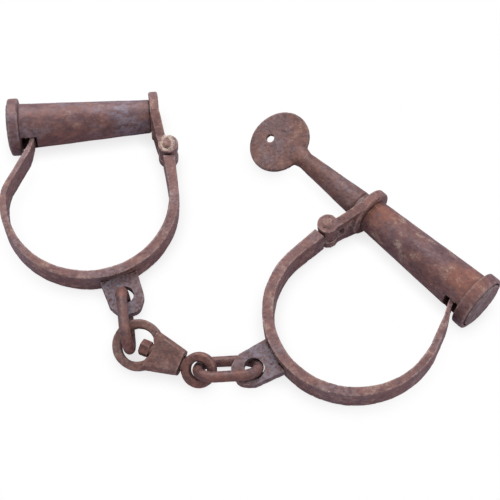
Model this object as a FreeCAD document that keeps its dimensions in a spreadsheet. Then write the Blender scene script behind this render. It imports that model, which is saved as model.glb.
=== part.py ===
import FreeCAD, Part
import Sketcher
import math
import os

# Screw-lock wrist cuffs with a swivel chain, all sizes in millimetres and degrees.
# A cuff is drawn with x along the barrel from flange to arm, the bow on the -y side and z across the band.

SIZES = {
    # how the cuffs lie: flange rim, collar and chain on the ground, +Z up
    "left_base_x": -106.75,
    "left_base_y": 59.64,
    "left_yaw": 6.65,
    "left_roll": 2.85,
    "right_base_x": 95.6,
    "right_base_y": -26.7,
    "right_yaw": 135.0,
    "right_roll": 177.15,
    "cuff_base_z": 13.08,
    "origin_x": -2.082,
    "origin_y": 3.882,
    "origin_z": -0.007,
    "cuff_pitch": 1.74,
    # lock barrel
    "flange_radius": 13.0,
    "left_flange_start": -2.0,
    "right_flange_start": -2.8,
    "flange_end": 3.0,
    "flange_round": 0.9,
    "barrel_big_radius": 10.45,
    "barrel_small_radius": 7.65,
    "stub_radius": 6.8,
    "keyhole_radius": 5.2,
    "keyhole_start": 49.0,
    "stem_bore_radius": 5.0,
    "shoulder_start": 37.0,
    "bolt_bore_radius": 6.0,
    "plug_seat": 0.5,
    "plug_radius": 11.2,
    "slot_start": 3.4,
    "slot_end": 10.0,
    "slot_half_height": 4.8,
    "tip_slot_end": 12.7,
    "tip_slot_half_height": 4.5,
    "tip_slot_depth": 6.6,
    # base plug
    "plug_proud": 0.6,
    "plug_seam": 0.4,
    "plug_seam_depth": 1.4,
    "plug_round": 0.5,
    # hinge arm
    "left_collar_start": 61.5,
    "right_collar_start": 59.8,
    "collar_thickness": 4.3,
    "collar_radius": 11.1,
    "collar_chamfer": 0.6,
    "strap_half_height": 7.7,
    "strap_shoulder": 14.4,
    "strap_root": 2.4,
    "strap_root_half_height": 10.75,
    "pivot_x": 68.3,
    "pivot_y": -19.0,
    "knuckle_radius": 4.6,
    "curl_join_x": 64.4,
    "curl_bend_x": 63.2,
    "curl_bend_y": -14.6,
    "curl_back_x": 67.4,
    "curl_back_y": -14.0,
    "curl_gap": 1.0,
    "curl_gap_depth": 0.9,
    "fork_top": -14.0,
    "fork_half_gap": 2.7,
    # hinge rivet
    "rivet_radius": 2.2,
    "rivet_head_radius": 3.0,
    "rivet_head_top": 1.5,
    "rivet_head_height": 0.8,
    # bow
    "left_bow_outer_x": 31.9,
    "left_bow_outer_y": -41.2,
    "left_bow_outer_radius": 39.3,
    "left_bow_inner_x": 31.2,
    "left_bow_inner_y": -40.8,
    "left_bow_inner_radius": 35.3,
    "right_bow_outer_x": 33.2,
    "right_bow_outer_y": -40.2,
    "right_bow_outer_radius": 38.7,
    "right_bow_inner_x": 32.6,
    "right_bow_inner_y": -39.7,
    "right_bow_inner_radius": 34.3,
    "bow_half_height": 6.5,
    "bow_round": 0.6,
    "bend_round": 18.0,
    "band_top_y": -24.0,
    "band_top_outer_x": 71.1,
    "band_top_inner_x": 65.4,
    "left_flank_outer_y": -33.5,
    "left_flank_inner_y": -33.6,
    "left_kink_outer_x": 3.3,
    "left_kink_outer_y": -17.3,
    "left_entry_outer_x": 6.3,
    "left_entry_outer_y": -11.5,
    "left_tip_outer_x": 9.3,
    "left_tip_inner_x": 11.3,
    "left_entry_inner_x": 8.9,
    "left_entry_inner_y": -10.0,
    "left_kink_inner_x": 6.8,
    "left_kink_inner_y": -17.0,
    "right_flank_outer_y": -31.0,
    "right_flank_inner_y": -30.6,
    "right_kink_outer_x": 0.4,
    "right_kink_outer_y": -17.9,
    "right_entry_outer_x": 4.9,
    "right_entry_outer_y": -10.4,
    "right_tip_outer_x": 8.9,
    "right_tip_inner_x": 11.4,
    "right_entry_inner_x": 8.1,
    "right_entry_inner_y": -9.0,
    "right_kink_inner_x": 4.0,
    "right_kink_inner_y": -17.4,
    "tip_y": 5.0,
    "tip_half_height": 4.0,
    "tip_shoulder_y": -9.0,
    "tongue_taper_y": -19.0,
    "tongue_cut_reach": 11.0,
    "window_radius": 2.9,
    "leaf_half_height": 2.5,
    "leaf_radius": 4.2,
    "leaf_inner_x": 64.5,
    "leaf_outer_x": 72.1,
    "leaf_bore_radius": 2.27,
    "leaf_root_inset": 0.9,
    "leaf_root_overlap": 1.5,
    # chain lug
    "lug_center_x": 33.0,
    "lug_center_y": -41.0,
    "left_lug_angle": -77.0,
    "right_lug_angle": -73.0,
    "lug_half_height": 2.3,
    "lug_root_half_width": 8.4,
    "lug_shoulder_half_width": 7.8,
    "lug_shoulder": 51.2,
    "lug_tip_half_width": 4.0,
    "lug_tip": 56.8,
    "lug_corner_round": 5.0,
    "lug_hole_reach": 47.6,
    "lug_hole_radius": 3.6,
    "lug_wear_gap": 0.45,
    "tenon_half_width": 4.0,
    "left_tenon_root": 34.7,
    "right_tenon_root": 33.2,
    "tenon_seat": 41.0,
    "mortise_overshoot": 1.5,
    "lug_root": 37.0,
    # locking bolt, spring and bush
    "nose_start": 13.3,
    "nose_tip_radius": 1.8,
    "nose_radius": 2.4,
    "nose_taper": 0.6,
    "head_start": 17.0,
    "head_end": 22.0,
    "head_radius": 5.7,
    "stem_radius": 2.5,
    "stem_end": 48.0,
    "bush_bore_radius": 2.56,
    "bush_start": 33.0,
    "spring_start": 22.6,
    "spring_length": 9.7,
    "spring_pitch": 1.94,
    "spring_mean_radius": 4.2,
    "spring_wire_radius": 0.5,
    # chain links
    "link_half_straight": 5.4,
    "link_bend_radius": 7.2,
    "link_wire_radius": 2.4,
    "link_left_x": -52.31,
    "link_left_y": -34.11,
    "link_left_z": 9.563,
    "link_left_yaw": -82.4,
    "link_left_roll": 95.2,
    "link_right_x": -9.12,
    "link_right_y": -55.05,
    "link_right_z": 7.29,
    "link_right_yaw": 3.4,
    "link_right_roll": 137.15,
    # swivel body, drawn from the ring's centre along the pin
    "swivel_x": -46.92,
    "swivel_y": -44.22,
    "swivel_z": 6.65,
    "swivel_yaw": -23.5,
    "swivel_roll": 16.0,
    "ring_outer_radius": 11.0,
    "ring_hole_radius": 7.0,
    "ring_half_height": 2.6,
    "ring_round": 1.0,
    "neck_start": 5.5,
    "neck_end": 20.3,
    "neck_start_half_width": 9.0,
    "neck_end_half_width": 5.6,
    "neck_start_half_height": 3.7,
    "neck_end_half_height": 4.2,
    "neck_facet": 1.6,
    "pin_bore_radius": 2.98,
    # swivel pin
    "eye_roll": 32.5,
    "pin_radius": 2.9,
    "pin_head_start": 1.0,
    "pin_head_end": 5.6,
    "pin_head_radius": 3.8,
    "pin_head_round": 0.8,
    "eye_neck_start": 20.7,
    "eye_neck_radius": 3.4,
    "eye_neck_inset": 1.5,
    "eye_neck_drop": 0.4,
    "eye_center": 28.0,
    "eye_outer_radius": 7.6,
    "eye_hole_radius": 3.6,
    "eye_half_height": 2.4,
    "eye_round": 1.2,
    # key, drawn on the right barrel's axis
    "key_roll": 163.0,
    "key_cone_start": 65.2,
    "key_cone_end": 100.5,
    "key_cone_big_radius": 6.4,
    "key_groove_start": 66.8,
    "key_groove_end": 67.5,
    "key_groove_radius": 5.85,
    "key_neck_radius": 4.0,
    "key_bow_center": 115.4,
    "key_bow_offset": -0.9,
    "key_bow_half_length": 13.0,
    "key_bow_half_width": 14.8,
    "key_bow_half_height": 1.5,
    "key_bow_round": 0.7,
    "key_blend_overlap": 0.5,
    "key_blend_half_height": 3.7,
    "key_blend_end": 107.5,
    "key_blend_half_width": 6.2,
    "key_hole_x": 119.6,
    "key_hole_y": -2.5,
    "key_hole_radius": 1.75,
    "thread_tube_start": 44.0,
    "thread_tube_end": 74.0,
    "thread_tube_radius": 4.2,
    "thread_bore_radius": 2.6,
}

XY = "XY_Plane"
XZ = "XZ_Plane"
YZ = "YZ_Plane"
CROSS_CUT = 60.0
MARGIN = 1.0
NEAR = 0.01
UPRIGHT = 0.99
FULL_TURN = 360.0
HEAD_SIDES = 6


class Size:
    """A number that also keeps the expression text that binds it to the sheet."""

    def __init__(self, value, text):
        self.value = value
        self.text = text

    def __add__(self, other):
        other = as_size(other)
        return Size(self.value + other.value, f"({self.text} + {other.text})")

    def __sub__(self, other):
        other = as_size(other)
        return Size(self.value - other.value, f"({self.text} - {other.text})")

    def __mul__(self, factor):
        return Size(self.value * factor, f"({self.text} * {factor})")

    def __neg__(self):
        return Size(-self.value, f"(0 - {self.text})")


def as_size(number):
    if isinstance(number, Size):
        return number
    return Size(float(number), str(float(number)))


def make_sheet(doc):
    sheet = doc.addObject("Spreadsheet::Sheet", "dims")
    for row, (name, value) in enumerate(SIZES.items(), start=1):
        sheet.set(f"A{row}", name)
        sheet.set(f"B{row}", str(value))
        sheet.setAlias(f"B{row}", name)
    return sheet


def dim(name):
    return Size(float(sheet.get(name)), f"dims.{name}")


def bind(obj, path, size):
    obj.setExpression(path, as_size(size).text)


def placement_text(x, y, z, yaw, pitch, roll):
    x, y, z = x - dim("origin_x"), y - dim("origin_y"), z - dim("origin_z")
    parts = [as_size(value).text for value in (x, y, z, yaw, pitch, roll)]
    turn = (
        f"rotation(vector(0; 0; 1); {parts[3]})"
        f" * rotation(vector(0; 1; 0); {parts[4]})"
        f" * rotation(vector(1; 0; 0); {parts[5]})"
    )
    return f"placement(vector({parts[0]}; {parts[1]}; {parts[2]}); {turn})"


def new_body(label, where):
    body = doc.addObject("PartDesign::Body", label)
    body.Label = label
    body.setExpression("Placement", where)
    return body


def new_sketch(body, plane, along=0.0, shift_x=0.0, shift_y=0.0, turn=None):
    """A sketch on one of the body's own planes, moved along its normal and within the plane."""
    sketch = body.newObject("Sketcher::SketchObject", f"{body.Name}_sketch")
    support = [item for item in body.Origin.OriginFeatures if item.Role == plane][0]
    sketch.AttachmentSupport = [(support, "")]
    sketch.MapMode = "FlatFace"
    offset = [as_size(value) for value in (shift_x, shift_y, along)]
    angle = as_size(turn if turn is not None else 0.0)
    sketch.AttachmentOffset = FreeCAD.Placement(
        FreeCAD.Vector(*[value.value for value in offset]),
        FreeCAD.Rotation(FreeCAD.Vector(0, 0, 1), angle.value),
    )
    sketch.setExpression(
        "AttachmentOffset",
        f"placement(vector({offset[0].text}; {offset[1].text}; {offset[2].text});"
        f" rotation(vector(0; 0; 1); {angle.text}))",
    )
    return sketch


def pin_point(sketch, geometry, end, point):
    """Hold one point of a sketch element at a place given by two sizes."""
    for kind, size in zip(("DistanceX", "DistanceY"), point):
        rule = Sketcher.Constraint(kind, -1, 1, geometry, end, size.value)
        bind(sketch, f"Constraints[{sketch.addConstraint(rule)}]", size)


def hold_radius(sketch, geometry, radius):
    rule = Sketcher.Constraint("Radius", geometry, radius.value)
    bind(sketch, f"Constraints[{sketch.addConstraint(rule)}]", radius)


def add_polygon(sketch, points):
    """A closed outline of straight lines, every corner bound to the sheet."""
    corners = [(as_size(x), as_size(y)) for x, y in points]
    vectors = [FreeCAD.Vector(x.value, y.value, 0) for x, y in corners]
    lines = []
    for index, start in enumerate(vectors):
        end = vectors[(index + 1) % len(vectors)]
        lines.append(sketch.addGeometry(Part.LineSegment(start, end)))
    for index, line in enumerate(lines):
        following = lines[(index + 1) % len(lines)]
        sketch.addConstraint(Sketcher.Constraint("Coincident", line, 2, following, 1))
    for line, corner in zip(lines, corners):
        pin_point(sketch, line, 1, corner)


def add_circle(sketch, x, y, radius):
    x, y, radius = as_size(x), as_size(y), as_size(radius)
    center = FreeCAD.Vector(x.value, y.value, 0)
    circle = sketch.addGeometry(Part.Circle(center, FreeCAD.Vector(0, 0, 1), radius.value))
    pin_point(sketch, circle, 3, (x, y))
    hold_radius(sketch, circle, radius)


def symmetric_feature(body, kind, sketch, half_length):
    """A pad or pocket that reaches the same way on both sides of its sketch."""
    feature = body.newObject(f"PartDesign::{kind}", f"{body.Name}_{kind.lower()}")
    feature.Profile = sketch
    feature.SideType = "Symmetric"
    length = as_size(half_length) * 2
    feature.Length = length.value
    bind(feature, "Length", length)
    sketch.Visibility = False
    return feature


def one_way_pad(body, sketch, length):
    feature = body.newObject("PartDesign::Pad", f"{body.Name}_pad")
    feature.Profile = sketch
    feature.Length = length.value
    bind(feature, "Length", length)
    return feature


def revolve(body, sketch, axis="H_Axis"):
    feature = body.newObject("PartDesign::Revolution", f"{body.Name}_revolution")
    feature.Profile = sketch
    feature.ReferenceAxis = (sketch, [axis])
    feature.Angle = FULL_TURN
    return feature


def round_edges(body, radius, wanted):
    """Round the edges of the body's last feature that the test function accepts."""
    doc.recompute()
    base = body.Tip
    names = [f"Edge{index + 1}" for index, edge in enumerate(base.Shape.Edges) if wanted(edge)]
    fillet = body.newObject("PartDesign::Fillet", f"{body.Name}_fillet")
    fillet.Base = (base, names)
    fillet.Radius = radius.value
    bind(fillet, "Radius", radius)
    return fillet


def is_circle(edge, radius):
    curve = edge.Curve
    return isinstance(curve, Part.Circle) and abs(curve.Radius - radius.value) < NEAR


def ends_at_height(edge, height):
    """Whether an edge lies flat in the top or bottom plane of a piece of this half height."""
    flat = abs(edge.BoundBox.ZLength) < NEAR
    return flat and all(abs(abs(vertex.Point.z) - height.value) < NEAR for vertex in edge.Vertexes)


def revolved_piece(label, where, points):
    """A turned piece on the barrel's axis from its half outline."""
    body = new_body(label, where)
    sketch = new_sketch(body, XY)
    add_polygon(sketch, points)
    revolve(body, sketch)
    return body


def cut_box(body, plane, along, low, high, half_length):
    """Pocket a rectangle through the body, half_length each way from the sketch."""
    sketch = new_sketch(body, plane, along=along)
    add_polygon(sketch, [low, (high[0], low[1]), high, (low[0], high[1])])
    return symmetric_feature(body, "Pocket", sketch, half_length)


def make_lock_barrel(side, where):
    collar_start = dim(f"{side}_collar_start")
    flange_start = dim(f"{side}_flange_start")
    collar_end = collar_start + dim("collar_thickness")
    body = revolved_piece(
        f"{side}_lock_barrel",
        where,
        [
            (flange_start, dim("plug_radius")),
            (flange_start, dim("flange_radius")),
            (dim("flange_end"), dim("flange_radius")),
            (dim("flange_end"), dim("barrel_big_radius")),
            (collar_start, dim("barrel_small_radius")),
            (collar_start, dim("stub_radius")),
            (collar_end, dim("stub_radius")),
            (collar_end, dim("keyhole_radius")),
            (dim("keyhole_start"), dim("keyhole_radius")),
            (dim("keyhole_start"), dim("stem_bore_radius")),
            (dim("shoulder_start"), dim("stem_bore_radius")),
            (dim("shoulder_start"), dim("bolt_bore_radius")),
            (dim("plug_seat"), dim("bolt_bore_radius")),
            (dim("plug_seat"), dim("plug_radius")),
        ],
    )
    round_edges(body, dim("flange_round"), lambda edge: is_circle(edge, dim("flange_radius")))
    slot_middle = (dim("slot_start") + dim("slot_end")) * 0.5
    slot_half = (dim("slot_end") - dim("slot_start")) * 0.5
    half_height = dim("slot_half_height")
    cut_box(body, YZ, slot_middle, (-dim("flange_radius"), -half_height), (0.0, half_height), slot_half)
    tip_middle = (dim("slot_start") + dim("tip_slot_end")) * 0.5
    tip_half = (dim("tip_slot_end") - dim("slot_start")) * 0.5
    tip_height = dim("tip_slot_half_height")
    tip_low = (-dim("bolt_bore_radius"), -tip_height)
    cut_box(body, YZ, tip_middle, tip_low, (dim("tip_slot_depth"), tip_height), tip_half)
    return body


def make_base_plug(side, where):
    flange_start = dim(f"{side}_flange_start")
    face = flange_start - dim("plug_proud")
    step = face + dim("plug_proud") + dim("plug_seam_depth")
    rim = dim("plug_radius") - dim("plug_seam")
    body = revolved_piece(
        f"{side}_base_plug",
        where,
        [
            (face, 0.0),
            (face, rim),
            (step, rim),
            (step, dim("plug_radius")),
            (dim("plug_seat"), dim("plug_radius")),
            (dim("plug_seat"), 0.0),
        ],
    )
    round_edges(
        body,
        dim("plug_round"),
        lambda edge: is_circle(edge, rim) and edge.Curve.Center.x < flange_start.value,
    )
    return body


def make_hinge_arm(side, where):
    body = new_body(f"{side}_hinge_arm", where)
    collar_start = dim(f"{side}_collar_start")
    collar_end = collar_start + dim("collar_thickness")
    half = dim("strap_half_height")
    strap = new_sketch(body, XY)
    add_polygon(
        strap,
        [
            (collar_start, -dim("strap_root")),
            (dim("curl_bend_x"), dim("curl_bend_y")),
            (dim("curl_join_x"), dim("pivot_y")),
            (dim("pivot_x"), dim("pivot_y")),
            (dim("curl_back_x"), dim("curl_back_y")),
            (collar_end, -dim("strap_root")),
        ],
    )
    symmetric_feature(body, "Pad", strap, dim("strap_root_half_height"))
    far = dim("pivot_y") - dim("knuckle_radius")
    above = dim("collar_radius") + dim("strap_half_height")
    for sign in (1, -1):
        slope = new_sketch(body, YZ, along=collar_start)
        outline = [
            (0.0, dim("strap_root_half_height")),
            (-dim("strap_root"), dim("strap_root_half_height")),
            (-dim("strap_shoulder"), half),
            (far, half),
            (far, above),
            (0.0, above),
        ]
        add_polygon(slope, [(y, z if sign > 0 else -z) for y, z in outline[::sign]])
        symmetric_feature(body, "Pocket", slope, CROSS_CUT)
    collar = new_sketch(body, XY)
    chamfer = dim("collar_chamfer")
    shoulder = dim("collar_radius") - chamfer
    add_polygon(
        collar,
        [
            (collar_start, 0.0),
            (collar_start, shoulder),
            (collar_start + chamfer, dim("collar_radius")),
            (collar_end - chamfer, dim("collar_radius")),
            (collar_end, shoulder),
            (collar_end, 0.0),
        ],
    )
    revolve(body, collar)
    knuckle = new_sketch(body, XY)
    add_circle(knuckle, dim("pivot_x"), dim("pivot_y"), dim("knuckle_radius"))
    symmetric_feature(body, "Pad", knuckle, half)
    cut_box(
        body,
        XY,
        0.0,
        (collar_start - MARGIN, dim("pivot_y") - dim("knuckle_radius") - MARGIN),
        (dim("pivot_x") + dim("knuckle_radius") + MARGIN, dim("fork_top")),
        dim("fork_half_gap"),
    )
    gap = new_sketch(body, XY)
    gap_top = dim("curl_back_y") + dim("curl_gap_depth")
    gap_side = dim("curl_back_x") + dim("curl_gap")
    add_polygon(
        gap,
        [
            (dim("curl_back_x"), gap_top),
            (gap_side, gap_top),
            (gap_side, dim("pivot_y") + dim("rivet_radius")),
        ],
    )
    symmetric_feature(body, "Pocket", gap, half + MARGIN)
    bores = (
        (new_sketch(body, XY), dim("pivot_x"), dim("pivot_y"), dim("rivet_radius")),
        (new_sketch(body, YZ, along=collar_start), 0.0, 0.0, dim("stub_radius")),
    )
    for sketch, x, y, radius in bores:
        add_circle(sketch, x, y, radius)
        symmetric_feature(body, "Pocket", sketch, CROSS_CUT)
    return body


def make_hinge_rivet(side, where):
    body = new_body(f"{side}_hinge_rivet", where)
    sketch = new_sketch(body, XZ, along=-dim("pivot_y"), shift_x=dim("pivot_x"))
    seat = dim("strap_half_height")
    crown = seat + dim("rivet_head_height")
    outline = [
        (0.0, crown),
        (dim("rivet_head_top"), crown),
        (dim("rivet_head_radius"), seat),
        (dim("rivet_radius"), seat),
    ]
    mirrored = [(x, -y) for x, y in reversed(outline)]
    add_polygon(sketch, outline + mirrored)
    revolve(body, sketch, axis="V_Axis")
    return body


def make_bow(side, where):
    body = new_body(f"{side}_bow", where)
    add_bow_band(body, side)
    leaf = new_sketch(body, XY)
    add_circle(leaf, dim("pivot_x"), dim("pivot_y"), dim("leaf_radius"))
    symmetric_feature(body, "Pad", leaf, dim("leaf_half_height"))
    root = new_sketch(body, XY)
    root_y = dim("band_top_y") - dim("leaf_root_overlap")
    add_polygon(
        root,
        [
            (dim("leaf_inner_x"), dim("pivot_y")),
            (dim("leaf_outer_x"), dim("pivot_y")),
            (dim("band_top_outer_x") - dim("leaf_root_inset"), root_y),
            (dim("band_top_inner_x") + dim("leaf_root_inset"), root_y),
        ],
    )
    symmetric_feature(body, "Pad", root, dim("leaf_half_height"))
    round_edges(body, dim("bend_round"), is_flank_bend)
    round_edges(body, dim("bow_round"), is_band_edge)
    bore = new_sketch(body, XY)
    add_circle(bore, dim("pivot_x"), dim("pivot_y"), dim("leaf_bore_radius"))
    symmetric_feature(body, "Pocket", bore, CROSS_CUT)
    tongue_middle = (dim(f"{side}_tip_outer_x") + dim(f"{side}_tip_inner_x")) * 0.5
    top = dim("tip_y") + MARGIN
    outside = dim("bow_half_height") + MARGIN
    tip_half = dim("tip_half_height")
    reach = dim("tongue_cut_reach")
    for sign in (1, -1):
        taper = new_sketch(body, YZ, along=tongue_middle)
        outline = [
            (top, tip_half),
            (top, outside),
            (dim("tongue_taper_y"), outside),
            (dim("tongue_taper_y"), dim("bow_half_height")),
            (dim("tip_shoulder_y"), tip_half),
        ]
        add_polygon(taper, [(y, z if sign > 0 else -z) for y, z in outline[::sign]])
        symmetric_feature(body, "Pocket", taper, reach)
    window = new_sketch(body, YZ, along=tongue_middle)
    add_circle(window, 0.0, 0.0, dim("window_radius"))
    symmetric_feature(body, "Pocket", window, reach)
    mortise = lug_sketch(body, side)
    add_polygon(mortise, tenon_outline(side, dim("mortise_overshoot")))
    symmetric_feature(body, "Pocket", mortise, dim("lug_half_height"))
    return body


def is_flank_bend(edge):
    """The upright edges where the band bends towards the barrel, and not those of the tip or the hinge."""
    point = edge.Vertexes[0].Point
    upright = isinstance(edge.Curve, Part.Line) and abs(edge.Curve.Direction.z) > UPRIGHT
    return upright and point.x < dim("left_bow_outer_x").value and point.y < dim("tip_y").value - MARGIN


def is_band_edge(edge):
    """The band's long edges round the wrist and along the tongue, up to where it runs to the hinge."""
    by_hinge = isinstance(edge.Curve, Part.Line) and edge.BoundBox.XMax > dim("left_bow_outer_x").value
    across = edge.BoundBox.YLength < dim("bow_round").value
    return ends_at_height(edge, dim("bow_half_height")) and not by_hinge and not across


def add_bow_band(body, side):
    """The band's side view: two arcs round the wrist with straight flanks to the hinge and the barrel."""
    sketch = new_sketch(body, XY)
    outer_center, outer_radius = bow_circle(side, "outer")
    inner_center, inner_radius = bow_circle(side, "inner")
    outer_flank = flank_point(outer_center, outer_radius, dim(f"{side}_flank_outer_y"))
    inner_flank = flank_point(inner_center, inner_radius, dim(f"{side}_flank_inner_y"))
    names = ("kink_outer", "entry_outer", "tip_outer", "tip_inner", "entry_inner", "kink_inner")
    tongue = []
    for name in names:
        y = dim("tip_y") if name.startswith("tip") else dim(f"{side}_{name}_y")
        tongue.append((dim(f"{side}_{name}_x"), y))
    outer_side = (outer_center[0] + outer_radius, outer_center[1])
    inner_side = (inner_center[0] + inner_radius, inner_center[1])
    band_top = [
        (dim("band_top_inner_x"), dim("band_top_y")),
        (dim("band_top_outer_x"), dim("band_top_y")),
    ]
    outer_arc = add_arc(sketch, outer_center, outer_radius, outer_flank, outer_side)
    inner_arc = add_arc(sketch, inner_center, inner_radius, inner_flank, inner_side)
    add_open_lines(sketch, [outer_flank] + tongue + [inner_flank], outer_arc, inner_arc, 1)
    add_open_lines(sketch, [inner_side] + band_top + [outer_side], inner_arc, outer_arc, 2)
    symmetric_feature(body, "Pad", sketch, dim("bow_half_height"))


def bow_circle(side, face):
    """The centre and radius of the bow's outer or inner arc."""
    name = f"{side}_bow_{face}"
    return (dim(f"{name}_x"), dim(f"{name}_y")), dim(f"{name}_radius")


def flank_point(center, radius, y):
    """Where an arc's barrel side reaches the height y; the value starts the sketch solver off."""
    rise = y.value - center[1].value
    x = center[0].value - math.sqrt(radius.value ** 2 - rise ** 2)
    return (as_size(x), y)


def add_arc(sketch, center, radius, start, end):
    """An arc from start to end, turning left, with its centre and radius bound to the sheet."""
    middle = FreeCAD.Vector(center[0].value, center[1].value, 0)
    angles = []
    for point in (start, end):
        angles.append(math.atan2(point[1].value - middle.y, point[0].value - middle.x))
    circle = Part.Circle(middle, FreeCAD.Vector(0, 0, 1), radius.value)
    arc = sketch.addGeometry(Part.ArcOfCircle(circle, angles[0], angles[1]))
    pin_point(sketch, arc, 3, center)
    hold_radius(sketch, arc, radius)
    return arc


def add_open_lines(sketch, points, first_arc, last_arc, arc_end):
    """Straight lines through the points, joined to one end of an arc at each end of the run."""
    vectors = [FreeCAD.Vector(x.value, y.value, 0) for x, y in points]
    lines = []
    for start, end in zip(vectors, vectors[1:]):
        lines.append(sketch.addGeometry(Part.LineSegment(start, end)))
    sketch.addConstraint(Sketcher.Constraint("Coincident", lines[0], 1, first_arc, arc_end))
    sketch.addConstraint(Sketcher.Constraint("Coincident", lines[-1], 2, last_arc, arc_end))
    for line, following in zip(lines, lines[1:]):
        sketch.addConstraint(Sketcher.Constraint("Coincident", line, 2, following, 1))
    for line, point in zip(lines[1:], points[1:]):
        pin_point(sketch, line, 1, point)
    for arc, point in ((first_arc, points[0]), (last_arc, points[-1])):
        rule = Sketcher.Constraint("DistanceY", -1, 1, arc, arc_end, point[1].value)
        bind(sketch, f"Constraints[{sketch.addConstraint(rule)}]", point[1])


def lug_sketch(body, side):
    """A sketch whose x axis runs out from the bow's centre through the chain lug."""
    return new_sketch(
        body,
        XY,
        shift_x=dim("lug_center_x"),
        shift_y=dim("lug_center_y"),
        turn=dim(f"{side}_lug_angle"),
    )


def tenon_outline(side, past_root):
    """The lug's tenon through the band, with past_root added at its inner end."""
    half = dim("tenon_half_width")
    root = dim(f"{side}_tenon_root") - past_root
    seat = dim("tenon_seat")
    return [(root, -half), (seat, -half), (seat, half), (root, half)]


def make_chain_lug(side, where, link):
    plate_name = f"{side}_lug_plate"
    body = new_body(plate_name, where)
    plate = lug_sketch(body, side)
    outline = [
        (dim("lug_root"), dim("lug_root_half_width")),
        (dim("lug_shoulder"), dim("lug_shoulder_half_width")),
        (dim("lug_tip"), dim("lug_tip_half_width")),
    ]
    mirrored = [(x, -y) for x, y in reversed(outline)]
    add_polygon(plate, mirrored + outline)
    symmetric_feature(body, "Pad", plate, dim("lug_half_height"))
    round_edges(body, dim("lug_corner_round"), is_lug_corner)
    seat = new_sketch(body, XY)
    center, radius = bow_circle(side, "outer")
    add_circle(seat, center[0], center[1], radius)
    symmetric_feature(body, "Pocket", seat, CROSS_CUT)
    hole = lug_sketch(body, side)
    add_circle(hole, dim("lug_hole_reach"), 0.0, dim("lug_hole_radius"))
    symmetric_feature(body, "Pocket", hole, CROSS_CUT)
    tenon = lug_sketch(body, side)
    add_polygon(tenon, tenon_outline(side, 0.0))
    symmetric_feature(body, "Pad", tenon, dim("lug_half_height"))
    wear = doc.addObject("Part::Torus", f"{side}_link_wear")
    bind(wear, "Radius1", dim("link_bend_radius"))
    bind(wear, "Radius2", dim("link_wire_radius") + dim("lug_wear_gap"))
    end = -dim("link_half_straight") if side == "left" else dim("link_half_straight")
    link_end = f"placement(vector({end.text}; 0; 0); rotation(vector(0; 0; 1); 0))"
    wear.setExpression("Placement", f"{link} * {link_end}")
    lug = doc.addObject("Part::Cut", f"{side}_chain_lug")
    lug.Label = f"{side}_chain_lug"
    lug.Base = body
    lug.Tool = wear
    return lug


def is_lug_corner(edge):
    """The plate's upright edges at its shoulders and tip, away from the bow."""
    upright = isinstance(edge.Curve, Part.Line) and abs(edge.Curve.Direction.z) > UPRIGHT
    point = edge.Vertexes[0].Point
    reach = math.hypot(point.x - dim("lug_center_x").value, point.y - dim("lug_center_y").value)
    return upright and reach > dim("lug_shoulder").value


def make_locking_bolt(side, where):
    return revolved_piece(
        f"{side}_locking_bolt",
        where,
        [
            (dim("nose_start"), 0.0),
            (dim("nose_start"), dim("nose_tip_radius")),
            (dim("nose_start") + dim("nose_taper"), dim("nose_radius")),
            (dim("head_start"), dim("nose_radius")),
            (dim("head_start"), dim("head_radius")),
            (dim("head_end"), dim("head_radius")),
            (dim("head_end"), dim("stem_radius")),
            (dim("stem_end"), dim("stem_radius")),
            (dim("stem_end"), 0.0),
        ],
    )


def make_guide_bush(side, where):
    return revolved_piece(
        f"{side}_guide_bush",
        where,
        [
            (dim("bush_start"), dim("bush_bore_radius")),
            (dim("bush_start"), dim("bolt_bore_radius")),
            (dim("shoulder_start"), dim("bolt_bore_radius")),
            (dim("shoulder_start"), dim("bush_bore_radius")),
        ],
    )


def make_bolt_spring(side, where):
    body = new_body(f"{side}_bolt_spring", where)
    wire = new_sketch(body, XY)
    add_circle(wire, dim("spring_start"), dim("spring_mean_radius"), dim("spring_wire_radius"))
    coil = body.newObject("PartDesign::AdditiveHelix", f"{body.Name}_helix")
    coil.Profile = wire
    coil.ReferenceAxis = (wire, ["H_Axis"])
    coil.Mode = "pitch-height-angle"
    coil.Pitch = dim("spring_pitch").value
    coil.Height = dim("spring_length").value
    bind(coil, "Pitch", dim("spring_pitch"))
    bind(coil, "Height", dim("spring_length"))
    return body


def make_link(label, where):
    """An oval chain link: a round wire along two straights and two half circles."""
    body = new_body(label, where)
    path = new_sketch(body, XY)
    half = dim("link_half_straight")
    bend = dim("link_bend_radius")
    right = add_arc(path, (half, as_size(0.0)), bend, (half, -bend), (half, bend))
    left_ends = ((-half, bend), (-half, -bend))
    left = add_arc(path, (-half, as_size(0.0)), bend, *left_ends)
    top = path.addGeometry(Part.LineSegment(FreeCAD.Vector(half.value, bend.value, 0),
                                            FreeCAD.Vector(-half.value, bend.value, 0)))
    bottom = path.addGeometry(Part.LineSegment(FreeCAD.Vector(-half.value, -bend.value, 0),
                                               FreeCAD.Vector(half.value, -bend.value, 0)))
    for line, end, arc, arc_end in (
        (top, 1, right, 2),
        (top, 2, left, 1),
        (bottom, 1, left, 2),
        (bottom, 2, right, 1),
    ):
        path.addConstraint(Sketcher.Constraint("Tangent", line, end, arc, arc_end))
    wire = new_sketch(body, YZ)
    add_circle(wire, bend, 0.0, dim("link_wire_radius"))
    pipe = body.newObject("PartDesign::AdditivePipe", f"{body.Name}_pipe")
    pipe.Profile = wire
    pipe.Spine = path
    return body


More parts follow.
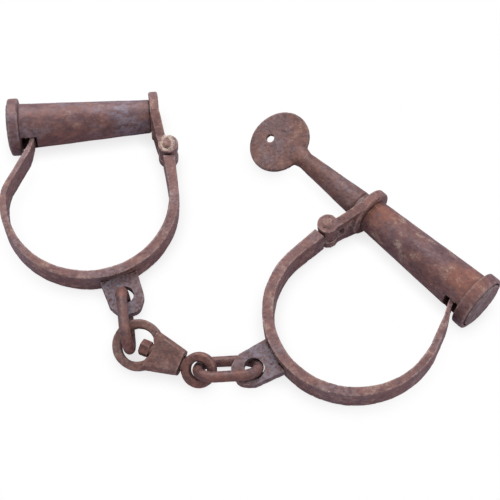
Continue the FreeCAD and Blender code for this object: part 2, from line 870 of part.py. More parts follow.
def make_swivel_body(where):
    body = new_body("swivel_body", where)
    ring = new_sketch(body, XY)
    add_circle(ring, 0.0, 0.0, dim("ring_outer_radius"))
    add_circle(ring, 0.0, 0.0, dim("ring_hole_radius"))
    symmetric_feature(body, "Pad", ring, dim("ring_half_height"))
    round_edges(body, dim("ring_round"), lambda edge: ends_at_height(edge, dim("ring_half_height")))
    sections = []
    for along, half_width, half_height in (
        (dim("neck_start"), dim("neck_start_half_width"), dim("neck_start_half_height")),
        (dim("neck_end"), dim("neck_end_half_width"), dim("neck_end_half_height")),
    ):
        section = new_sketch(body, YZ, along=along)
        add_polygon(section, faceted_outline(half_width, half_height, dim("neck_facet")))
        sections.append(section)
    neck = body.newObject("PartDesign::AdditiveLoft", "swivel_neck")
    neck.Profile = sections[0]
    neck.Sections = [sections[1]]
    neck.Ruled = True
    hole = new_sketch(body, XY)
    add_circle(hole, 0.0, 0.0, dim("ring_hole_radius"))
    symmetric_feature(body, "Pocket", hole, CROSS_CUT)
    bore_half = (dim("neck_end") + MARGIN) * 0.5
    bore = new_sketch(body, YZ, along=bore_half)
    add_circle(bore, 0.0, 0.0, dim("pin_bore_radius"))
    symmetric_feature(body, "Pocket", bore, bore_half)
    return body


def faceted_outline(half_width, half_height, facet):
    """A rectangle with its corners cut off, as points going round."""
    inner_width = half_width - facet
    inner_height = half_height - facet
    return [
        (half_width, -inner_height),
        (half_width, inner_height),
        (inner_width, half_height),
        (-inner_width, half_height),
        (-half_width, inner_height),
        (-half_width, -inner_height),
        (-inner_width, -half_height),
        (inner_width, -half_height),
    ]


def make_swivel_pin(where):
    body = new_body("swivel_pin", where)
    eye = new_sketch(body, XY)
    add_circle(eye, dim("eye_center"), 0.0, dim("eye_outer_radius"))
    add_circle(eye, dim("eye_center"), 0.0, dim("eye_hole_radius"))
    symmetric_feature(body, "Pad", eye, dim("eye_half_height"))
    round_edges(body, dim("eye_round"), lambda edge: ends_at_height(edge, dim("eye_half_height")))
    shank = new_sketch(body, XY)
    shoulder = dim("eye_center") - dim("eye_hole_radius") - dim("eye_neck_inset")
    add_polygon(
        shank,
        [
            (dim("pin_head_end") - MARGIN, 0.0),
            (dim("pin_head_end") - MARGIN, dim("pin_radius")),
            (dim("eye_neck_start"), dim("pin_radius")),
            (dim("eye_neck_start"), dim("eye_neck_radius")),
            (shoulder, dim("eye_half_height") - dim("eye_neck_drop")),
            (shoulder, 0.0),
        ],
    )
    revolve(body, shank)
    head = new_sketch(body, YZ, along=(dim("pin_head_start") + dim("pin_head_end")) * 0.5)
    corners = []
    for index in range(HEAD_SIDES):
        angle = math.radians(FULL_TURN / HEAD_SIDES * index)
        corners.append((dim("pin_head_radius") * math.cos(angle), dim("pin_head_radius") * math.sin(angle)))
    add_polygon(head, corners)
    symmetric_feature(body, "Pad", head, (dim("pin_head_end") - dim("pin_head_start")) * 0.5)
    round_edges(body, dim("pin_head_round"), is_head_face_edge)
    return body


def is_head_face_edge(edge):
    """The six edges of the hammered head's end face."""
    return all(abs(vertex.Point.x - dim("pin_head_start").value) < NEAR for vertex in edge.Vertexes)


def make_key_body(where):
    body = revolved_piece(
        "key_body",
        where,
        [
            (dim("key_cone_start"), dim("thread_tube_radius")),
            (dim("key_cone_start"), dim("key_cone_big_radius")),
            (dim("key_groove_start"), dim("key_cone_big_radius")),
            (dim("key_groove_start"), dim("key_groove_radius")),
            (dim("key_groove_end"), dim("key_groove_radius")),
            (dim("key_groove_end"), dim("key_cone_big_radius")),
            (dim("key_cone_end"), dim("key_neck_radius")),
            (dim("key_cone_end"), 0.0),
            (dim("thread_tube_end"), 0.0),
            (dim("thread_tube_end"), dim("thread_tube_radius")),
        ],
    )
    sections = []
    blend_start = dim("key_cone_end") - dim("key_blend_overlap")
    for along, half_width, half_height in (
        (blend_start, dim("key_neck_radius"), dim("key_blend_half_height")),
        (dim("key_blend_end"), dim("key_blend_half_width"), dim("key_bow_half_height")),
    ):
        section = new_sketch(body, YZ, along=along)
        add_ellipse(section, 0.0, 0.0, half_width, half_height)
        sections.append(section)
    blend = body.newObject("PartDesign::AdditiveLoft", "key_blend")
    blend.Profile = sections[0]
    blend.Sections = [sections[1]]
    handle = new_sketch(body, XY)
    center_x, center_y = dim("key_bow_center"), dim("key_bow_offset")
    add_ellipse(handle, center_x, center_y, dim("key_bow_half_length"), dim("key_bow_half_width"))
    symmetric_feature(body, "Pad", handle, dim("key_bow_half_height"))
    round_edges(body, dim("key_bow_round"), is_wide_ellipse)
    hole = new_sketch(body, XY)
    add_circle(hole, dim("key_hole_x"), dim("key_hole_y"), dim("key_hole_radius"))
    symmetric_feature(body, "Pocket", hole, CROSS_CUT)
    return body


def is_wide_ellipse(edge):
    return isinstance(edge.Curve, Part.Ellipse) and ends_at_height(edge, dim("key_bow_half_height"))


def add_ellipse(sketch, x, y, half_along, half_across):
    """An ellipse with its centre and its ends bound to the sheet; half_across may be the longer half."""
    x, y = as_size(x), as_size(y)
    center = FreeCAD.Vector(x.value, y.value, 0)
    side_point = center + FreeCAD.Vector(0, half_across.value, 0)
    end_point = center + FreeCAD.Vector(half_along.value, 0, 0)
    long_first = half_across.value > half_along.value
    axis_points = (side_point, end_point) if long_first else (end_point, side_point)
    ellipse = sketch.addGeometry(Part.Ellipse(axis_points[0], axis_points[1], center))
    pin_point(sketch, ellipse, 3, (x, y))
    sketch.exposeInternalGeometry(ellipse)
    major, minor = ellipse + 1, ellipse + 2
    longer, shorter = (half_across, half_along) if long_first else (half_along, half_across)
    for line, half in ((major, longer), (minor, shorter)):
        rule = Sketcher.Constraint("Distance", line, half.value * 2)
        bind(sketch, f"Constraints[{sketch.addConstraint(rule)}]", half * 2)
    upright = major if long_first else minor
    sketch.addConstraint(Sketcher.Constraint("Vertical", upright))


def make_thread_tube(where):
    return revolved_piece(
        "key_thread_tube",
        where,
        [
            (dim("thread_tube_start"), dim("thread_bore_radius")),
            (dim("thread_tube_start"), dim("thread_tube_radius")),
            (dim("thread_tube_end"), dim("thread_tube_radius")),
            (dim("thread_tube_end"), dim("thread_bore_radius")),
        ],
    )


def make_cuff(side, link):
    where = cuff_place(side, dim(f"{side}_roll"))
    return [
        make_lock_barrel(side, where),
        make_base_plug(side, where),
        make_hinge_arm(side, where),
        make_hinge_rivet(side, where),
        make_bow(side, where),
        make_chain_lug(side, where, link),
        make_locking_bolt(side, where),
        make_bolt_spring(side, where),
        make_guide_bush(side, where),
    ]


def cuff_place(side, roll):
    return placement_text(
        dim(f"{side}_base_x"),
        dim(f"{side}_base_y"),
        dim("cuff_base_z"),
        dim(f"{side}_yaw"),
        dim("cuff_pitch"),
        roll,
    )


def link_place(side):
    names = ("x", "y", "z", "yaw")
    x, y, z, yaw = [dim(f"link_{side}_{name}") for name in names]
    return placement_text(x, y, z, yaw, 0.0, dim(f"link_{side}_roll"))


def swivel_place(roll):
    return placement_text(dim("swivel_x"), dim("swivel_y"), dim("swivel_z"), dim("swivel_yaw"), 0.0, roll)


def problems(pieces):
    found = []
    for obj in doc.Objects:
        if "Invalid" in obj.State or "Error" in obj.State:
            found.append(f"{obj.Name} {obj.State}")
    for piece in pieces:
        if piece.Shape.isNull() or not piece.Shape.isValid():
            found.append(f"{piece.Label} has no valid shape")
        elif len(piece.Shape.Solids) != 1:
            found.append(f"{piece.Label} has {len(piece.Shape.Solids)} solids")
    return found


doc = FreeCAD.newDocument("wrist_cuffs")
sheet = make_sheet(doc)
doc.recompute()
links = {side: link_place(side) for side in ("left", "right")}
key_place = cuff_place("right", dim("key_roll"))
pieces = make_cuff("left", links["left"]) + make_cuff("right", links["right"])
pieces += [make_link(f"link_{side}", links[side]) for side in ("left", "right")]
pieces.append(make_swivel_body(swivel_place(dim("swivel_roll"))))
pieces.append(make_swivel_pin(swivel_place(dim("eye_roll"))))
pieces.append(make_key_body(key_place))
pieces.append(make_thread_tube(key_place))
doc.recompute()
faults = problems(pieces)
if faults:
    raise RuntimeError("; ".join(faults))
os.makedirs("parts", exist_ok=True)
for piece in pieces:
    piece.Shape.exportStep(os.path.join("parts", f"{piece.Label}.step"))
    box = piece.Shape.BoundBox
    print(piece.Label, round(piece.Shape.Volume, 1), [round(value, 2) for value in (
        box.XMin, box.YMin, box.ZMin, box.XMax, box.YMax, box.ZMax)])
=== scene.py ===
import math

import bmesh
import bpy
import numpy as np
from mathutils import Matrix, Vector, noise


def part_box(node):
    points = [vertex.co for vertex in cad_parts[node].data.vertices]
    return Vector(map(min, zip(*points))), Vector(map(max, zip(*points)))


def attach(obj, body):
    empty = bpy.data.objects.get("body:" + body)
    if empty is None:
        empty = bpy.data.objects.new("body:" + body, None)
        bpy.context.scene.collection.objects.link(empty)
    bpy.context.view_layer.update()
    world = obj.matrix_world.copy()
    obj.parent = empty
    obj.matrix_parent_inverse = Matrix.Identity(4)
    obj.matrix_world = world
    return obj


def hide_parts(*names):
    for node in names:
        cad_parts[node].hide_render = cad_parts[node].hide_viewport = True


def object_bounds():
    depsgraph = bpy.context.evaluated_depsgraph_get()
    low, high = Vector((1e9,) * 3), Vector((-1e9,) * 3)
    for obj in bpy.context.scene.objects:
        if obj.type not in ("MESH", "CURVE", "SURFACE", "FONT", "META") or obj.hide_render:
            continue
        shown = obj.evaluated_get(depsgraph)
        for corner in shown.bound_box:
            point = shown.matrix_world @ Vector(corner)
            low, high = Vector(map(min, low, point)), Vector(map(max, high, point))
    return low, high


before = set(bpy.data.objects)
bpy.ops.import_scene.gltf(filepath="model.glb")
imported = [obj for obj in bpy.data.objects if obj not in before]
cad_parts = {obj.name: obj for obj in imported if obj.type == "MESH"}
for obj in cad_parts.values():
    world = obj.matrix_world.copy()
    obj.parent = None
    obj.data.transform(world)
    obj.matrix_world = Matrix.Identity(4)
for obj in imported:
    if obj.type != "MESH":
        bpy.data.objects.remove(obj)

cad_low, cad_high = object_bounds()

MM = 0.001
DETAIL = 0.36
WELD = 0.002 * MM

# Forging: sizes of the noise in mm, and the bends at which wear and the painted shade in corners start and
# are full.
SOFTEN_ROUNDS = 2
SOFTEN_SHARE = 0.8
BEND_ROUNDS = 3
DENT_SIZE = 9.0
SMALL_DENT_SIZE = 4.0
SMALL_DENT_SHARE = 0.5
PIT_SIZE = 1.3
PIT_LEVELS = (0.12, 0.5)
WEAR_SIZE = 2.6
WEAR_LEVELS = (0.0, 0.6)
WEAR_BEND = (0.04, 0.2)
WEAR_SHARE = 0.25
EDGE_BEND = (0.015, 0.13)
PAINTED_SHADE_BEND = (0.01, 0.14)
SEED_STEP = 7.31

# The bare ring round the left rivet's head, in mm.
RING_SQUEEZE = 1.25
RING_RADIUS = 3.1
RING_WIDTH = 1.3
RING_DEPTH = (-3.0, -1.2)
RING_WOBBLES = ((1.3, 3.5, 31), (0.9, 1.2, 33))

# Rust on the right barrel: how far along it from a known point, how high and how wide, in mm.
COLLAR_RUST = (29.0, 9.0, 14.0)
FLANGE_RUST = (9.0, 10.0, 13.0)
ARM_RUST = (29.0, 7.0, 9.0)

# Floor, lights and camera, in metres unless the name says otherwise.
FLOOR_HALF = 2.5
CONTACT_REACH = 8.0 * MM
CONTACT_SAMPLES = 12
KEY_LIGHT = (Vector((-0.25, 0.75, 0.75)), 0.7, 11.0)
FILL_LIGHT = (Vector((0.7, -0.1, 0.7)), 0.9, 3.5)
ROOM_LIGHT = 0.9
BACKGROUND_LIGHT = 1.0
VIEW_SHIFT = Vector((2.08, -3.88, -5.07)) * MM
VIEW_ELEVATION = 63.0
VIEW_DISTANCE = 0.56
LENS_MM = 92.7
SENSOR_MM = 36.0

# ---------------------------------------------------------------------------
# Forged surfaces: each CAD solid is copied, closed up into an even fine mesh,
# and worked inwards with hammer dents and rust pits, so it never grows.


def even_mesh(node, cell_mm):
    """The CAD solid as one closed mesh of even small faces."""
    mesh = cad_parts[node].data.copy()
    work = bmesh.new()
    work.from_mesh(mesh)
    bmesh.ops.remove_doubles(work, verts=work.verts, dist=WELD)
    work.to_mesh(mesh)
    work.free()
    if cell_mm is None:
        return mesh
    holder = bpy.data.objects.new(node + "_holder", mesh)
    bpy.context.scene.collection.objects.link(holder)
    remesh = holder.modifiers.new("even", "REMESH")
    remesh.mode = "VOXEL"
    remesh.voxel_size = cell_mm * MM
    remesh.adaptivity = 0.0
    graph = bpy.context.evaluated_depsgraph_get()
    made = bpy.data.meshes.new_from_object(holder.evaluated_get(graph))
    bpy.data.objects.remove(holder)
    bpy.data.meshes.remove(mesh)
    return made


def read_points(mesh):
    points = np.zeros(len(mesh.vertices) * 3, np.float32)
    mesh.vertices.foreach_get("co", points)
    return points.reshape(-1, 3).astype(float)


def read_normals(mesh):
    normals = np.zeros(len(mesh.vertices) * 3, np.float32)
    mesh.vertex_normals.foreach_get("vector", normals)
    return normals.reshape(-1, 3).astype(float)


def read_edges(mesh):
    edges = np.zeros(len(mesh.edges) * 2, np.int32)
    mesh.edges.foreach_get("vertices", edges)
    return edges.reshape(-1, 2)


def neighbour_mean(values, edges, count):
    """Each vertex's mean over the vertices that it shares an edge with."""
    total = np.zeros_like(values)
    np.add.at(total, edges[:, 0], values[edges[:, 1]])
    np.add.at(total, edges[:, 1], values[edges[:, 0]])
    uses = np.bincount(edges.ravel(), minlength=count).astype(float)
    uses[uses == 0] = 1.0
    return total / (uses if values.ndim == 1 else uses[:, None])


def bend_of(points, normals, edges, rounds):
    """How sharply the surface bends: above 0 on outer edges, below 0 in corners."""
    count = len(points)
    lengths = np.linalg.norm(points[edges[:, 0]] - points[edges[:, 1]], axis=1)
    cell = lengths.mean()
    away = points - neighbour_mean(points, edges, count)
    bend = np.einsum("ij,ij->i", away, normals) / cell
    for _ in range(rounds):
        bend = 0.5 * bend + 0.5 * neighbour_mean(bend, edges, count)
    return bend


def ramp(values, low, high):
    share = np.clip((values - low) / (high - low), 0.0, 1.0)
    return share * share * (3.0 - 2.0 * share)


def field(points, size_mm, seed):
    """Smooth noise from about -1 to 1 at each point."""
    scaled = points / (size_mm * MM) + seed * SEED_STEP
    return np.array([noise.noise(p) for p in scaled.tolist()])


def set_attribute(mesh, name, values):
    layer = mesh.attributes.new(name, "FLOAT", "POINT")
    layer.data.foreach_set("value", values.astype(np.float32))


def pale_ring(points, middle_point):
    """1 on a flat ring round a point, with uneven width, and 0 away from it."""
    gap = points - np.array(middle_point)
    reach = np.hypot(gap[:, 0] * RING_SQUEEZE, gap[:, 1]) / MM
    for size, spread, seed in RING_WOBBLES:
        reach = reach + size * field(points, spread, seed)
    off = np.abs(reach - RING_RADIUS) / RING_WIDTH
    return np.clip(1.0 - off, 0.0, 1.0) * ramp(gap[:, 2] / MM, *RING_DEPTH)


def near_spots(points, spots):
    """1 at each spot's middle, falling to 0 at its reach."""
    share = np.zeros(len(points))
    for middle, reach_mm in spots:
        gap = np.linalg.norm(points - np.array(middle), axis=1)
        share = np.maximum(share, 1.0 - np.clip(gap / (reach_mm * MM), 0.0, 1.0))
    return share


def forged(node, body, material, cell, dent_mm, pit_mm, seed, rust=(), ring=None):
    """A worked iron piece that stands for one CAD node."""
    mesh = even_mesh(node, DETAIL * cell)
    points = read_points(mesh)
    normals = read_normals(mesh)
    edges = read_edges(mesh)
    for _ in range(SOFTEN_ROUNDS):
        moved = neighbour_mean(points, edges, len(points))
        shift = np.einsum("ij,ij->i", moved - points, normals)
        points = points + normals * np.minimum(shift, 0.0)[:, None] * SOFTEN_SHARE
    bend = bend_of(points, normals, edges, BEND_ROUNDS)
    waves = field(points, DENT_SIZE, seed) + SMALL_DENT_SHARE * field(points, SMALL_DENT_SIZE, seed + 1)
    dents = 0.5 + 0.5 * np.clip(waves, -1.0, 1.0)
    pits = ramp(field(points, PIT_SIZE, seed + 2), *PIT_LEVELS)
    worn = ramp(field(points, WEAR_SIZE, seed + 3), *WEAR_LEVELS) * ramp(bend, *WEAR_BEND)
    depth = dent_mm * dents + pit_mm * pits + WEAR_SHARE * dent_mm * worn
    points = points - normals * (depth * MM)[:, None]
    mesh.vertices.foreach_set("co", points.astype(np.float32).ravel())
    mesh.update()
    set_attribute(mesh, "edge", ramp(bend, *EDGE_BEND))
    # Painted shade: this mask marks concave corners and creases, which the material darkens as if shade
    # fell there.
    set_attribute(mesh, "painted_shade_mask", ramp(-bend, *PAINTED_SHADE_BEND))
    set_attribute(mesh, "pit", pits)
    set_attribute(mesh, "rust", near_spots(points, rust))
    bare = np.zeros(len(points)) if ring is None else pale_ring(points, ring)
    set_attribute(mesh, "pale", bare)
    return dress(node, body, material, mesh)


def plain_copy(node, body, material):
    """A thin or hidden piece, kept at the CAD mesh's own shape."""
    mesh = even_mesh(node, None)
    zeros = np.zeros(len(mesh.vertices))
    for name in ("edge", "painted_shade_mask", "pit", "rust", "pale"):
        set_attribute(mesh, name, zeros)
    return dress(node, body, material, mesh)


def dress(node, body, material, mesh):
    mesh.materials.clear()
    mesh.materials.append(material)
    mesh.name = node + "_iron"
    piece = bpy.data.objects.new(node + "_iron", mesh)
    bpy.context.scene.collection.objects.link(piece)
    for polygon in mesh.polygons:
        polygon.material_index = 0
    mesh.shade_smooth()
    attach(piece, body)
    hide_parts(node)
    return piece


# ---------------------------------------------------------------------------
# Materials


class Nodes:
    """Short calls for building one node material."""

    def __init__(self, name):
        self.material = bpy.data.materials.new(name)
        self.material.use_nodes = True
        self.tree = self.material.node_tree
        self.tree.nodes.clear()

    def add(self, kind, **settings):
        node = self.tree.nodes.new(kind)
        for key, value in settings.items():
            setattr(node, key, value)
        return node

    def link(self, source, target):
        self.tree.links.new(source, target)

    def put(self, socket, value):
        if hasattr(value, "is_linked"):
            self.link(value, socket)
        else:
            socket.default_value = value

    def noise(self, place, scale, detail, rough, shift=0.0):
        node = self.add("ShaderNodeTexNoise", noise_dimensions="4D")
        self.link(place, node.inputs["Vector"])
        node.inputs["W"].default_value = shift
        node.inputs["Scale"].default_value = scale
        node.inputs["Detail"].default_value = detail
        node.inputs["Roughness"].default_value = rough
        return node.outputs[0]

    def range(self, value, low, high, out_low=0.0, out_high=1.0):
        node = self.add("ShaderNodeMapRange", interpolation_type="SMOOTHSTEP", clamp=True)
        self.link(value, node.inputs["Value"])
        node.inputs["From Min"].default_value = low
        node.inputs["From Max"].default_value = high
        node.inputs["To Min"].default_value = out_low
        node.inputs["To Max"].default_value = out_high
        return node.outputs["Result"]

    def math(self, kind, first, second):
        node = self.add("ShaderNodeMath", operation=kind, use_clamp=True)
        self.put(node.inputs[0], first)
        self.put(node.inputs[1], second)
        return node.outputs[0]

    def mix(self, share, first, second):
        node = self.add("ShaderNodeMix", data_type="RGBA")
        self.put(node.inputs[0], share)
        self.put(node.inputs[6], first)
        self.put(node.inputs[7], second)
        return node.outputs[2]

    def blend(self, share, first, second):
        node = self.add("ShaderNodeMix", data_type="FLOAT")
        self.put(node.inputs[0], share)
        self.put(node.inputs[2], first)
        self.put(node.inputs[3], second)
        return node.outputs[0]

    def attribute(self, name):
        return self.add("ShaderNodeAttribute", attribute_name=name).outputs["Fac"]


def color(red, green, blue):
    return (red, green, blue, 1.0)


GRIME = color(0.24, 0.15, 0.13)
FLECK = color(0.30, 0.24, 0.21)
RUST_SPECK = color(0.20, 0.062, 0.035)
SCUFF = color(0.34, 0.29, 0.23)
RUST = color(0.225, 0.082, 0.048)
# Painted shade: the dark colour laid into concave corners and creases.
PAINTED_CORNER_SHADE = color(0.055, 0.026, 0.024)
PIT = color(0.07, 0.035, 0.035)
WORN_EDGE = color(0.33, 0.245, 0.225)
SCRATCH = color(0.52, 0.44, 0.42)
BARE_RING = color(0.46, 0.37, 0.31)


def iron_material(name, shift, tones, blue_share=0.5, gloss=0.5, worn=0.7, rust_all=0.0,
                  turn=0.0, stretch=1.0, scuffs=0.0):
    """Old forged iron: brown oxide with blue-grey patches, worn edges, fine rust and painted shade in its
    corners.
    turn and stretch draw the grain out along a bar that lies at that angle."""
    base, dark, red, blue = tones
    n = Nodes(name)
    place = n.add("ShaderNodeTexCoord").outputs["Object"]
    scale = n.add("ShaderNodeMapping")
    n.link(place, scale.inputs["Vector"])
    scale.vector_type = "TEXTURE"
    scale.inputs["Rotation"].default_value = (0.0, 0.0, turn)
    scale.inputs["Scale"].default_value = (stretch * MM, MM, MM)
    place = scale.outputs["Vector"]
    broad = n.noise(place, 0.075, 5.0, 0.6, shift)
    cloud = n.noise(place, 0.22, 7.0, 0.66, shift + 3.1)
    mottle = n.noise(place, 0.7, 8.0, 0.7, shift + 5.7)
    grain = n.noise(place, 2.2, 6.0, 0.75, shift + 9.2)
    speck = n.noise(place, 1.1, 4.0, 0.6, shift + 12.4)
    tone = n.mix(n.range(cloud, 0.36, 0.66), dark, base)
    tone = n.mix(n.range(mottle, 0.46, 0.72, 0.0, 0.5), tone, red)
    blue_mask = n.math("MULTIPLY", n.range(broad, 0.42, 0.62), n.range(mottle, 0.38, 0.58))
    tone = n.mix(n.math("MULTIPLY", blue_mask, blue_share), tone, blue)
    tone = n.mix(n.range(grain, 0.56, 0.78, 0.0, 0.5), tone, dark)
    tone = n.mix(n.range(grain, 0.24, 0.4, 0.3, 0.0), tone, GRIME)
    tone = n.mix(n.range(speck, 0.66, 0.72, 0.0, 0.55), tone, FLECK)
    tone = n.mix(n.range(speck, 0.26, 0.33, 0.5, 0.0), tone, RUST_SPECK)
    scuff = n.math("MULTIPLY", n.range(cloud, 0.54, 0.62), n.range(grain, 0.47, 0.56))
    tone = n.mix(n.math("MULTIPLY", scuff, scuffs), tone, SCUFF)
    rust_spots = n.range(n.attribute("rust"), 0.0, 0.75)
    rust_mask = n.math("MULTIPLY", rust_spots, n.range(cloud, 0.32, 0.56, 0.2, 1.0))
    rust_mask = n.math("MULTIPLY", rust_mask, n.range(mottle, 0.3, 0.55, 0.3, 1.0))
    rust_mask = n.math("MAXIMUM", rust_mask, n.math("MULTIPLY", n.range(mottle, 0.55, 0.72), rust_all))
    tone = n.mix(n.math("MULTIPLY", rust_mask, 0.5), tone, RUST)
    # Painted shade: concave corners and creases are darkened here.
    painted_shade_mask = n.attribute("painted_shade_mask")
    tone = n.mix(n.math("MULTIPLY", painted_shade_mask, 0.65), tone, PAINTED_CORNER_SHADE)
    pit = n.attribute("pit")
    tone = n.mix(n.math("MULTIPLY", pit, 0.3), tone, PIT)
    edge_mask = n.math("MULTIPLY", n.attribute("edge"), n.range(mottle, 0.35, 0.62, 0.15, 1.0))
    edge_mask = n.math("MULTIPLY", edge_mask, worn)
    tone = n.mix(edge_mask, tone, WORN_EDGE)
    scratch = n.math("MULTIPLY", n.range(n.attribute("edge"), 0.25, 0.7), n.range(speck, 0.56, 0.64))
    scratch = n.math("MULTIPLY", scratch, n.range(cloud, 0.45, 0.58, 0.0, worn))
    tone = n.mix(scratch, tone, SCRATCH)
    pale_spots = n.range(n.attribute("pale"), 0.15, 0.7)
    pale_mask = n.math("MULTIPLY", pale_spots, n.range(grain, 0.40, 0.54, 0.15, 1.0))
    tone = n.mix(n.math("MULTIPLY", pale_mask, 0.85), tone, BARE_RING)
    shader = n.add("ShaderNodeBsdfPrincipled")
    n.link(tone, shader.inputs["Base Color"])
    rough = n.blend(n.range(cloud, 0.35, 0.65), 0.72 - 0.3 * gloss, 0.82 - 0.2 * gloss)
    rough = n.blend(n.math("MAXIMUM", rust_mask, pale_mask), rough, 0.9)
    rough = n.blend(n.math("MULTIPLY", edge_mask, 0.7), rough, 0.4)
    n.link(rough, shader.inputs["Roughness"])
    metal = n.blend(n.math("MAXIMUM", rust_mask, pale_mask), n.range(mottle, 0.4, 0.65, 0.35, 0.12), 0.0)
    n.link(n.blend(edge_mask, metal, 0.55), shader.inputs["Metallic"])
    shader.inputs["Specular IOR Level"].default_value = 0.45
    coarse = n.add("ShaderNodeBump")
    coarse.inputs["Strength"].default_value = 0.55
    coarse.inputs["Distance"].default_value = 0.35 * MM
    n.link(mottle, coarse.inputs["Height"])
    fine = n.add("ShaderNodeBump")
    fine.inputs["Strength"].default_value = 0.5
    fine.inputs["Distance"].default_value = 0.12 * MM
    n.link(grain, fine.inputs["Height"])
    n.link(coarse.outputs["Normal"], fine.inputs["Normal"])
    n.link(fine.outputs["Normal"], shader.inputs["Normal"])
    out = n.add("ShaderNodeOutputMaterial")
    n.link(shader.outputs["BSDF"], out.inputs["Surface"])
    return n.material


def bar_angle(side):
    """The way the side's barrel points, seen from above."""
    run = middle(side + "_guide_bush") - middle(side + "_base_plug")
    return math.atan2(run.y, run.x)


def middle(node):
    low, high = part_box(node)
    return (low + high) / 2


# Each iron's tones: its main brown, its dark brown, its red and its blue-grey.
SLATE = color(0.135, 0.118, 0.155)
BARREL_TONES = (color(0.142, 0.062, 0.056), color(0.068, 0.031, 0.035), color(0.205, 0.074, 0.052), SLATE)
BOW_TONES = (
    color(0.175, 0.084, 0.075), color(0.082, 0.038, 0.040),
    color(0.215, 0.088, 0.070), color(0.165, 0.135, 0.155),
)
ARM_TONES = (color(0.180, 0.086, 0.076), color(0.085, 0.040, 0.040), color(0.210, 0.086, 0.066), SLATE)
LUG_TONES = (
    color(0.150, 0.080, 0.074), color(0.070, 0.036, 0.040),
    color(0.180, 0.076, 0.060), color(0.150, 0.135, 0.170),
)
CHAIN_TONES = (
    color(0.150, 0.062, 0.050), color(0.062, 0.027, 0.027),
    color(0.205, 0.068, 0.042), color(0.130, 0.105, 0.120),
)
SWIVEL_TONES = (
    color(0.165, 0.078, 0.062), color(0.080, 0.037, 0.034),
    color(0.190, 0.075, 0.054), color(0.150, 0.125, 0.140),
)
KEY_TONES = (
    color(0.150, 0.068, 0.054), color(0.072, 0.034, 0.032),
    color(0.195, 0.076, 0.054), color(0.130, 0.108, 0.135),
)
PLUG_TONES = (
    color(0.130, 0.070, 0.064), color(0.065, 0.036, 0.040),
    color(0.160, 0.075, 0.060), color(0.168, 0.145, 0.148),
)
STEEL_TONES = (
    color(0.220, 0.170, 0.155), color(0.110, 0.074, 0.066),
    color(0.240, 0.130, 0.090), color(0.26, 0.24, 0.25),
)

barrel_iron = {
    side: iron_material(side + "_barrel_iron", shift, BARREL_TONES, blue_share=blue, gloss=0.9,
                        worn=0.55, turn=bar_angle(side), stretch=1.5, scuffs=scuffs)
    for side, shift, blue, scuffs in (("left", 1.0, 0.75, 0.25), ("right", 14.0, 0.3, 0.7))
}
bow_iron = iron_material("bow_iron", 2.0, BOW_TONES, blue_share=0.5, gloss=0.7, worn=0.95, scuffs=0.5)
arm_iron = iron_material("arm_iron", 3.0, ARM_TONES, blue_share=0.4, gloss=0.6, worn=0.95, scuffs=0.6)
lug_iron = iron_material("lug_iron", 4.0, LUG_TONES, blue_share=0.8, gloss=0.5, worn=0.6)
chain_iron = iron_material("chain_iron", 5.0, CHAIN_TONES, blue_share=0.3, gloss=0.95, worn=0.5)
swivel_iron = iron_material("swivel_iron", 6.0, SWIVEL_TONES, blue_share=0.35, gloss=0.65,
                            worn=0.7, scuffs=0.3)
key_iron = iron_material("key_iron", 7.0, KEY_TONES, blue_share=0.45, gloss=0.6, worn=0.45,
                         rust_all=0.15, scuffs=0.3)
plug_iron = iron_material("plug_iron", 8.0, PLUG_TONES, blue_share=0.75, gloss=0.5, worn=0.6)
lock_steel = iron_material("lock_steel", 9.0, STEEL_TONES, blue_share=0.5, gloss=0.9, worn=0.8)

# ---------------------------------------------------------------------------
# Pieces


def top_of(node):
    low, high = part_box(node)
    spot = (low + high) / 2
    spot.z = high.z
    return spot


def rust_spot(start, along, sizes):
    """A rust spot set back along the barrel from a point, as its middle and its reach in mm."""
    back_mm, up_mm, reach_mm = sizes
    return (start - along * back_mm * MM + Vector((0.0, 0.0, up_mm * MM)), reach_mm)


right_plug = middle("right_base_plug")
right_barrel = middle("right_lock_barrel")
along_barrel = (right_plug - right_barrel).normalized()
barrel_rust = {
    "left": [],
    "right": [
        rust_spot(right_barrel, along_barrel, COLLAR_RUST),
        rust_spot(right_plug, along_barrel, FLANGE_RUST),
    ],
}
arm_rust = {"left": [], "right": [rust_spot(right_barrel, along_barrel, ARM_RUST)]}
bare_ring = {"left": top_of("left_hinge_rivet"), "right": None}

for side, seed in (("left", 11), ("right", 23)):
    body = side + "_barrel"
    ring = bare_ring[side]
    forged(side + "_lock_barrel", body, barrel_iron[side], 1.0, 0.2, 0.06, seed, rust=barrel_rust[side])
    forged(side + "_base_plug", body, plug_iron, 1.0, 0.16, 0.1, seed + 1)
    forged(side + "_hinge_arm", body, arm_iron, 0.85, 0.2, 0.12, seed + 2, rust=arm_rust[side], ring=ring)
    forged(side + "_hinge_rivet", body, arm_iron, 0.7, 0.12, 0.12, seed + 3, ring=ring)
    forged(side + "_bow", side + "_bow", bow_iron, 1.0, 0.3, 0.12, seed + 4)
    forged(side + "_chain_lug", side + "_bow", lug_iron, 0.8, 0.2, 0.16, seed + 5)
    plain_copy(side + "_guide_bush", body, lock_steel)
    plain_copy(side + "_bolt_spring", body, lock_steel)
    plain_copy(side + "_locking_bolt", side + "_bolt", lock_steel)

forged("link_left", "link_left", chain_iron, 0.7, 0.2, 0.06, 41)
forged("link_right", "link_right", chain_iron, 0.7, 0.2, 0.06, 43)
forged("swivel_body", "swivel", swivel_iron, 0.8, 0.24, 0.1, 47)
forged("swivel_pin", "eye", chain_iron, 0.7, 0.16, 0.08, 53)
forged("key_body", "key", key_iron, 0.9, 0.22, 0.1, 59)
plain_copy("key_thread_tube", "key", lock_steel)

# ---------------------------------------------------------------------------
# Floor, light and camera


WHITE = color(1.0, 1.0, 1.0)
# Grey of the painted contact shadow on the floor.
PAINTED_CONTACT_SHADOW = color(0.72, 0.70, 0.71)
FLOOR_BOUNCE = color(0.54, 0.48, 0.57)


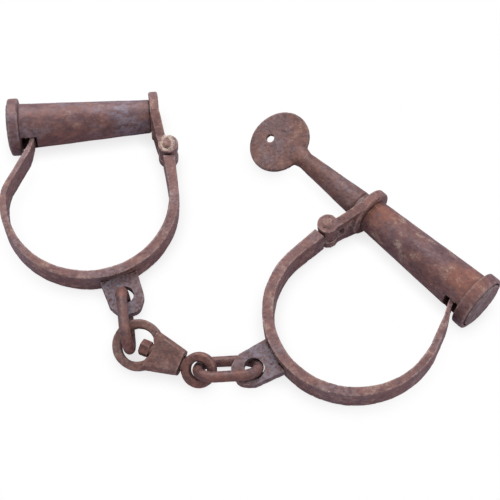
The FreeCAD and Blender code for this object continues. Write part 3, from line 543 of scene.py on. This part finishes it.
def make_floor():
    """A pale floor that lets the camera and the lamps through, so a piece that swings below it still shows.
    It carries a painted contact shadow, darker where pieces come close, and it throws light back up."""
    half = FLOOR_HALF
    mesh = bpy.data.meshes.new("floor")
    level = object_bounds()[0].z
    corners = [(-half, -half, level), (half, -half, level), (half, half, level), (-half, half, level)]
    mesh.from_pydata(corners, [], [(0, 1, 2, 3)])
    floor = bpy.data.objects.new("floor", mesh)
    bpy.context.scene.collection.objects.link(floor)
    n = Nodes("floor_white_painted_shadow")
    rays = n.add("ShaderNodeLightPath")
    shade = n.add("ShaderNodeAmbientOcclusion", samples=CONTACT_SAMPLES)
    shade.inputs["Distance"].default_value = CONTACT_REACH
    seen = n.add("ShaderNodeBsdfTransparent")
    # Painted shadow: what the camera sees through the floor is tinted grey where pieces are close, in place
    # of a cast contact shadow.
    painted_shadow = n.mix(n.range(shade.outputs["AO"], 0.0, 1.0), PAINTED_CONTACT_SHADOW, WHITE)
    n.link(painted_shadow, seen.inputs["Color"])
    bounce = n.add("ShaderNodeBsdfDiffuse")
    bounce.inputs["Color"].default_value = FLOOR_BOUNCE
    clear = n.add("ShaderNodeBsdfTransparent")
    look = n.add("ShaderNodeMixShader")
    n.link(rays.outputs["Is Camera Ray"], look.inputs[0])
    n.link(bounce.outputs["BSDF"], look.inputs[1])
    n.link(seen.outputs["BSDF"], look.inputs[2])
    choose = n.add("ShaderNodeMixShader")
    n.link(rays.outputs["Is Shadow Ray"], choose.inputs[0])
    n.link(look.outputs["Shader"], choose.inputs[1])
    n.link(clear.outputs["BSDF"], choose.inputs[2])
    out = n.add("ShaderNodeOutputMaterial")
    n.link(choose.outputs["Shader"], out.inputs["Surface"])
    mesh.materials.append(n.material)


def area_light(name, target, settings):
    offset, size, watts = settings
    place = target + offset
    lamp = bpy.data.lights.new(name, "AREA")
    lamp.shape = "DISK"
    lamp.size = size
    lamp.energy = watts
    holder = bpy.data.objects.new(name, lamp)
    holder.location = place
    holder.rotation_mode = "QUATERNION"
    holder.rotation_quaternion = (target - place).to_track_quat("-Z", "Y")
    bpy.context.scene.collection.objects.link(holder)


make_floor()
look_at = (cad_low + cad_high) / 2 + VIEW_SHIFT
area_light("key_light", look_at, KEY_LIGHT)
area_light("fill_light", look_at, FILL_LIGHT)

world = bpy.data.worlds.new("studio")
world.use_nodes = True
sky = world.node_tree.nodes["Background"]
sky.inputs["Color"].default_value = WHITE
world_rays = world.node_tree.nodes.new("ShaderNodeLightPath")
strength = world.node_tree.nodes.new("ShaderNodeMapRange")
world.node_tree.links.new(world_rays.outputs["Is Camera Ray"], strength.inputs["Value"])
strength.inputs["To Min"].default_value = ROOM_LIGHT
strength.inputs["To Max"].default_value = BACKGROUND_LIGHT
world.node_tree.links.new(strength.outputs["Result"], sky.inputs["Strength"])
bpy.context.scene.world = world
bpy.context.scene.view_settings.view_transform = "Standard"

lens = bpy.data.cameras.new("camera")
lens.lens = LENS_MM
lens.sensor_width = SENSOR_MM
lens.dof.use_dof = False
camera = bpy.data.objects.new("camera", lens)
elevation = math.radians(VIEW_ELEVATION)
outward = Vector((0.0, -math.cos(elevation), math.sin(elevation)))
camera.location = look_at + outward * VIEW_DISTANCE
camera.rotation_mode = "QUATERNION"
camera.rotation_quaternion = (look_at - camera.location).to_track_quat("-Z", "Y")
bpy.context.scene.collection.objects.link(camera)
bpy.context.scene.camera = camera
